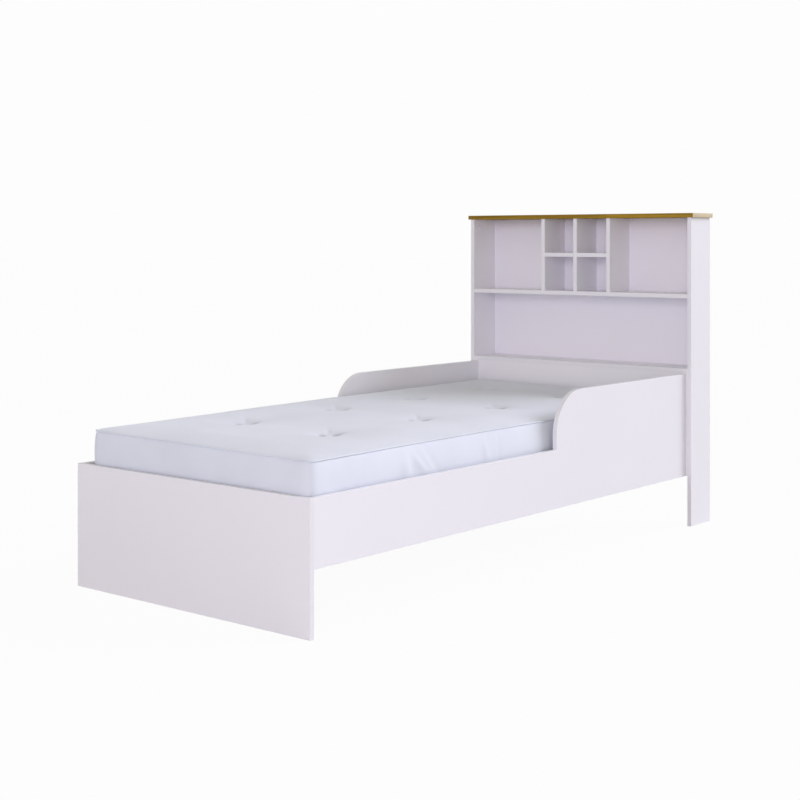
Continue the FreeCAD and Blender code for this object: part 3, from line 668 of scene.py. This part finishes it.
# %% Ties
TURN = math.radians(50)
TIE_REACH = 260 * MM
FINE_REACHES = (84 * MM, 48 * MM)
BOWL_DEPTH, BOWL_WIDTH = 8, 130
DIMPLE_DEPTH, DIMPLE_WIDTH = 3, 40
PIT_PLACE, VALLEY_START = -20, 16
PIT_LENGTH, VALLEY_LENGTH, VALLEY_MOUTH = 9, 20, 6
TUCK_DEPTH, TUCK_WIDTH = 5, 13
VALLEY_BEND = 0.4
BRIDGE_HEIGHT, BRIDGE_LENGTH, BRIDGE_WIDTH = 3, 11, 16
DIAGONAL = 0.7
CREASE_DEPTH, CREASE_PLACE, CREASE_LENGTH, CREASE_WIDTH = 2, 55, 38, 8


def bump_of(distance, width):
    """1 at no distance, falling softly to 0 past the width."""
    return math.exp(-(distance / width) ** 2)


def tie_depths(across, along):
    """How deep a tie draws the cover down beside it, and how far shut the tuck lies there, which
    sets the shade painted into the cloth.
    """
    forward = along * math.cos(TURN) + across * math.sin(TURN)
    sideways = across * math.cos(TURN) - along * math.sin(TURN)
    distance = math.hypot(across, along)
    bowl = (BOWL_DEPTH * bump_of(distance, BOWL_WIDTH)
            + DIMPLE_DEPTH * math.exp(-(distance / DIMPLE_WIDTH) ** 1.5))
    pit = bump_of(forward - PIT_PLACE, PIT_LENGTH) * bump_of(sideways, TUCK_WIDTH)
    run = max(0, forward - VALLEY_START)
    valley = bump_of(run, VALLEY_LENGTH) * bump_of(max(0, VALLEY_START - forward), VALLEY_MOUTH)
    valley *= bump_of(sideways + VALLEY_BEND * run, TUCK_WIDTH)
    bridge = bump_of(forward, BRIDGE_LENGTH) * bump_of(sideways, BRIDGE_WIDTH)
    slant, aside = (along - across) * DIAGONAL, (along + across) * DIAGONAL
    crease = CREASE_DEPTH * bump_of(slant - CREASE_PLACE, CREASE_LENGTH)
    crease *= bump_of(aside, CREASE_WIDTH)
    return (bowl + TUCK_DEPTH * pit + TUCK_DEPTH * valley + crease - BRIDGE_HEIGHT * bridge,
            pit + valley)


# %% [markdown]
# The seams are drawn in next: within 9 mm of a seam the cloth turns in by up to 3 mm, and the
# piping will sit in that notch. The side band has two groups of slack folds on its near side, as
# in the photograph. Each fold is a place along the side, a width and a lean. Last comes the large
# form. The long sides draw in towards their middle, the near one by 21 mm and the far one by 5 mm.
# The top rises in a long low crown from the foot, and its far side lies up to 12.5 mm higher.

# %% Seams, folds and the large form
NOTCH_DEPTH, NOTCH_WIDTH, NOTCH_REACH = 3, 4.5, 12
FOLD_RIDGE, FOLD_HOLLOW = 5.5, 3.5
FOLD_MIDDLE, FOLD_FADE_MIDDLE, FOLD_FADE = 50, 60, 34
FOLDS = [(-548, 18, 0.1), (-494, 13, 1.0), (-460, 12, 0.8), (-178, 12, 0.1), (-154, 10, -0.05),
         (-131, 9, -0.15)]


def notch(point):
    """Draw a point beside a seam inwards."""
    edge = from_edge(point.x, point.y)
    if edge > NOTCH_REACH * MM:
        return
    for seam in (UPPER_SEAM, LOWER_SEAM):
        near = math.hypot(max(0, edge), point.z - seam) / MM
        if near < NOTCH_REACH:
            drawn = NOTCH_DEPTH * MM * bump_of(near, NOTCH_WIDTH)
            inner = Vector((max(-1, min(1, point.x / (HALF_X - CORNER))) * (HALF_X - CORNER),
                            max(-1, min(1, point.y / (HALF_Y - CORNER))) * (HALF_Y - CORNER),
                            point.z))
            point += (inner - point).normalized() * drawn


def fold_height(y, z):
    """Slack folds of the side band, in millimetres. Each leans, and fades out at both seams."""
    below = (UPPER_SEAM - z) / MM
    height = 0
    for place, width, lean in FOLDS:
        ridge = place + lean * (below - FOLD_MIDDLE)
        hollow = place + width * 1.5 + lean * (below - FOLD_MIDDLE)
        height += (FOLD_RIDGE * bump_of(y / MM - ridge, width)
                   - FOLD_HOLLOW * bump_of(y / MM - hollow, width))
    return bump_of(below - FOLD_FADE_MIDDLE, FOLD_FADE) * height


NEAR_DRAW, FAR_DRAW, END_DRAW = 21 * MM, 5 * MM, 3 * MM
FAR_SHIFT = 11 * MM
FAR_LIFT, FAR_LIFT_MIDDLE = 9, 3.5
SIDE_BULGE = 4 * MM
CROWN = 7.5 * MM
CROWN_BLEND = 8 * MM


def large_form(point):
    """Bring a point of the plain box into the form of the mattress in the photograph."""
    across, along = point.x / HALF_X, point.y / HALF_Y
    lift = max(0, min(1, (point.z - LOWER_SEAM) / (UPPER_SEAM - LOWER_SEAM)))
    rise = 1 - max(0, -along) ** 1.2 + 0.3 * max(0, along) ** 2
    above = max(0, min(1, (point.z - UPPER_SEAM) / CROWN_BLEND))
    bulge = SIDE_BULGE * math.sin(math.pi * lift)
    draw = NEAR_DRAW if across > 0 else FAR_DRAW
    point.x += across ** 3 * (bulge - draw * (1 - along ** 2) * (0.4 + 0.6 * lift))
    point.x += FAR_SHIFT * (1 - across) / 2
    point.y += along ** 3 * (bulge - END_DRAW * (1 - across ** 2))
    point.z += (FAR_LIFT + FAR_LIFT_MIDDLE * (1 - along ** 2)) * MM * lift * (1 - across) / 2
    point.z += CROWN * above * rise * (1 - max(0, across) ** 4)


def shape_cover(mesh):
    """The swollen cover with its ties, folds, seams and large form, at its place in the bed."""
    shape = bmesh.new()
    shape.from_mesh(mesh)
    for reach in FINE_REACHES:
        near = [edge for edge in shape.edges if edge.verts[0].co.z > UPPER_SEAM
                and any(math.hypot(edge.verts[0].co.x - x, edge.verts[0].co.y - y) < reach
                        for x, y in TIES)]
        bmesh.ops.subdivide_edges(shape, edges=near, cuts=1, use_grid_fill=True)
    # painted shade: each tuck's value darkens the ticking's colour there
    tuck_shade = shape.verts.layers.float.new("tuck_shade")
    for vert in shape.verts:
        point = vert.co
        depth = 0.0
        if point.z > UPPER_SEAM + 2 * MM:
            for x, y in TIES:
                if math.hypot(point.x - x, point.y - y) < TIE_REACH:
                    drawn, shut = tie_depths((point.x - x) / MM, (point.y - y) / MM)
                    depth += drawn
                    vert[tuck_shade] = max(vert[tuck_shade], shut)
            depth -= noise.noise(point * 6) * 0.6 + noise.noise(point * 17) * 0.3
        elif point.x > HALF_X - 15 * MM and point.z > LOWER_SEAM + 10 * MM:
            point.x += fold_height(point.y, point.z) * MM
        notch(point)
        large_form(point)
        point.z -= depth * MM
        point.x += MIDDLE.x
        point.y += MIDDLE.y
        point.z = max(low.z, point.z)
    for face in shape.faces:
        face.smooth = True
    return shape


shape = shape_cover(swollen_mesh)
print("cover after its seams and ties:", len(shape.faces), "faces")

# %% [markdown]
# The ticking is a fine knit in a cool white, soft and without gloss. Its stitches are about
# 0.8 mm, too fine to show from here, so they are drawn at 2 mm, as two crossed waves. The fibres
# on its surface scatter light at a low angle, which is the shader's sheen. Deep in a tuck the
# cloth lies on itself and little light arrives, so shade is painted there: the tucks carry a value
# that darkens the cloth's colour, a painted shade added to what the tuck's form already shades.

# %% Knitted ticking
STITCH = 2 * MM
TUCK_PAINTED_SHADE = 0.5


def ticking():
    material, tree = new_material("knitted_ticking")
    place = add(tree, "ShaderNodeTexCoord")
    slow = add(tree, "ShaderNodeTexNoise", {"Scale": 5.0, "Detail": 3.0},
               {"Vector": place.outputs["Object"]})
    tone = tones(tree, slow.outputs["Fac"], linear("#DBE0E9"), linear("#E1E6EF"),
                 start=0.3, end=0.7)
    stitch = {"Scale": math.pi / 10 / STITCH, "Distortion": 0.8, "Detail": 1.0}
    courses = add(tree, "ShaderNodeTexWave", {**stitch, "bands_direction": "Y"},
                  {"Vector": place.outputs["Object"]})
    wales = add(tree, "ShaderNodeTexWave", {**stitch, "bands_direction": "X"},
                {"Vector": place.outputs["Object"]})
    knit = add(tree, "ShaderNodeMath", {"operation": "MULTIPLY"},
               {0: courses.outputs["Fac"], 1: wales.outputs["Fac"]})
    # painted shade: the tucks' value darkens the ticking's colour, standing in for light that can't
    # reach into them
    tuck_shade = add(tree, "ShaderNodeAttribute", {"attribute_name": "tuck_shade"})
    lit = add(tree, "ShaderNodeMath", {"operation": "MULTIPLY_ADD",
                                           1: -TUCK_PAINTED_SHADE, 2: 1.0},
              {0: tuck_shade.outputs["Fac"]})
    colour = add(tree, "ShaderNodeVectorMath", {"operation": "SCALE"},
                 {0: tone, "Scale": lit.outputs[0]})
    finish_surface(tree, colour.outputs[0], knit.outputs[0], strength=0.35, depth_mm=0.3,
                   settings={"Roughness": 0.85, "IOR": 1.5, "Sheen Weight": 0.15,
                             "Sheen Roughness": 0.5})
    return material


cover_cloth = ticking()
mattress = add_piece("mattress_cover", shape, [cover_cloth], "mattress",
                     ["mattress"])
finer = mattress.modifiers.new("finer", "SUBSURF")
finer.levels = 1
finer.render_levels = 1

# %% [markdown]
# A cord covered in the same cloth, the piping, is sewn into both seams and draws a fine line
# round the mattress. Its path is the seam's own outline, brought into the large form like the
# cover. A closed curve with a round section follows the path, and becomes a mesh.

# %% Piping in both seams
PIPING_INSET = 0.4


def piping(name, seam, radius):
    """Sew a cord of cloth into the seam at a height."""
    across, along = spaced(-HALF_X, HALF_X), spaced(-HALF_Y, HALF_Y)
    outline = ([(x, -HALF_Y) for x in across] + [(HALF_X, y) for y in along[1:]]
               + [(x, HALF_Y) for x in across[-2::-1]] + [(-HALF_X, y) for y in along[-2:0:-1]])
    curve = bpy.data.curves.new(name, "CURVE")
    curve.dimensions = "3D"
    curve.bevel_depth = radius
    curve.bevel_resolution = 2
    spline = curve.splines.new("POLY")
    spline.points.add(len(outline) - 1)
    spline.use_cyclic_u = True
    for point, (x, y) in zip(spline.points, outline):
        place = Vector((*rounded(x, y), seam))
        place.xy -= place.xy.normalized() * PIPING_INSET * MM
        large_form(place)
        point.co = (place.x + MIDDLE.x, place.y + MIDDLE.y, place.z, 1)
    drawn = bpy.data.objects.new(name, curve)
    scene.collection.objects.link(drawn)
    shape = bmesh.new()
    shape.from_mesh(evaluated_mesh(drawn))
    bpy.data.objects.remove(drawn)
    for face in shape.faces:
        face.smooth = True
    print(name, "has", len(shape.faces), "faces")
    add_piece(name, shape, [cover_cloth], "mattress")


piping("piping_upper", UPPER_SEAM, 2.5 * MM)
piping("piping_lower", LOWER_SEAM, 2.2 * MM)

# %% [markdown]
# ## Light and background
#
# The photograph has a white ground that fades into the floor without a line. The bed is lit by a
# sky that is brighter at the horizon than overhead. What looks at the sky directly, or through a
# gloss, sees plain white instead. The floor works the same way: it adds white for the camera, and
# its own paper is a plain surface that the bed's shadow falls on.

# %% Background and sky light
scene.view_settings.view_transform = "Standard"
HORIZON = 0.65
ZENITH = 0.36
FLOOR_REACH = 60
FLOOR_WHITE = 0.96


def unlit_share(tree, share):
    """Near 1 for what the camera, a gloss or a clear piece sees, and 0 for light on the bed."""
    ray = add(tree, "ShaderNodeLightPath")
    seen = add(tree, "ShaderNodeMath", {"operation": "ADD"},
               {0: ray.outputs["Is Camera Ray"], 1: ray.outputs["Is Glossy Ray"]})
    seen = add(tree, "ShaderNodeMath", {"operation": "ADD", "use_clamp": True},
               {0: seen.outputs[0], 1: ray.outputs["Is Transmission Ray"]})
    return add(tree, "ShaderNodeMath", {"operation": "MULTIPLY", 1: share}, {0: seen.outputs[0]})


def sky():
    world = bpy.data.worlds.new("studio")
    scene.world = world
    world.use_nodes = True
    tree = world.node_tree
    tree.nodes.clear()
    seen = unlit_share(tree, 1.0)
    place = add(tree, "ShaderNodeTexCoord")
    parts = add(tree, "ShaderNodeSeparateXYZ", links={"Vector": place.outputs["Generated"]})
    level = add(tree, "ShaderNodeMapRange", {"From Min": 0.0, "From Max": 1.0, "To Min": HORIZON,
                                             "To Max": ZENITH}, {"Value": parts.outputs["Z"]})
    light = add(tree, "ShaderNodeBackground", {"Color": linear("#FFFBF0")},
                {"Strength": level.outputs["Result"]})
    white = add(tree, "ShaderNodeBackground", {"Color": linear("#FDFDFD"), "Strength": 1.0})
    both = add(tree, "ShaderNodeMixShader", links={0: seen.outputs[0], 1: light.outputs[0],
                                                   2: white.outputs[0]})
    add(tree, "ShaderNodeOutputWorld", links={"Surface": both.outputs[0]})


def floor():
    shape = bmesh.new()
    bmesh.ops.create_grid(shape, x_segments=1, y_segments=1, size=FLOOR_REACH)
    mesh = bpy.data.meshes.new("floor")
    shape.to_mesh(mesh)
    shape.free()
    plane = bpy.data.objects.new("floor", mesh)
    scene.collection.objects.link(plane)
    material, tree = new_material("seamless_paper")
    share = unlit_share(tree, FLOOR_WHITE)
    paper = add(tree, "ShaderNodeBsdfDiffuse", {"Color": linear("#CFCFCF")})
    white = add(tree, "ShaderNodeEmission", {"Color": linear("#FFFFFF"), "Strength": 1.0})
    both = add(tree, "ShaderNodeMixShader", links={0: share.outputs[0], 1: paper.outputs[0],
                                                   2: white.outputs[0]})
    finish_material(tree, both)
    mesh.materials.append(material)


sky()
floor()
print("a white sky and a white floor")

# %% [markdown]
# Two lamps shape the bed. The key is a broad, distant lamp behind and to the right of it, so the
# long near side is the brightest and the shelves lie in shade. The fill is a large softbox in
# front and to the right, as high as the mattress, and lights the foot and the bookcase's front.
# Both are slightly cool, and the sky is slightly warm.

# %% Lamps
def sun(name, toward, strength, spread, colour):
    """A distant lamp. It stands in the direction given, and spread is its width in degrees."""
    data = bpy.data.lights.new(name, "SUN")
    data.energy = strength * math.pi
    data.angle = math.radians(spread)
    data.color = linear(colour)[:3]
    lamp = bpy.data.objects.new(name, data)
    lamp.rotation_euler = Vector(toward).to_track_quat("Z", "Y").to_euler()
    scene.collection.objects.link(lamp)


def panel(name, place, target, size, strength, colour):
    """A square softbox turned to a target. The strength is what arrives at the target."""
    data = bpy.data.lights.new(name, "AREA")
    data.shape = "SQUARE"
    data.size = size
    toward = Vector(place) - Vector(target)
    data.energy = strength * math.pi ** 2 * toward.length_squared
    data.color = linear(colour)[:3]
    lamp = bpy.data.objects.new(name, data)
    lamp.location = place
    lamp.rotation_euler = toward.to_track_quat("Z", "Y").to_euler()
    scene.collection.objects.link(lamp)


sun("key", toward=(1.1, 1.8, 1.15), strength=0.78, spread=35, colour="#F0EFFF")
panel("fill", place=(4.0, -9.5, 1.3), target=(0.0, -1.0, 0.4), size=5.5, strength=0.60,
      colour="#F4ECFF")
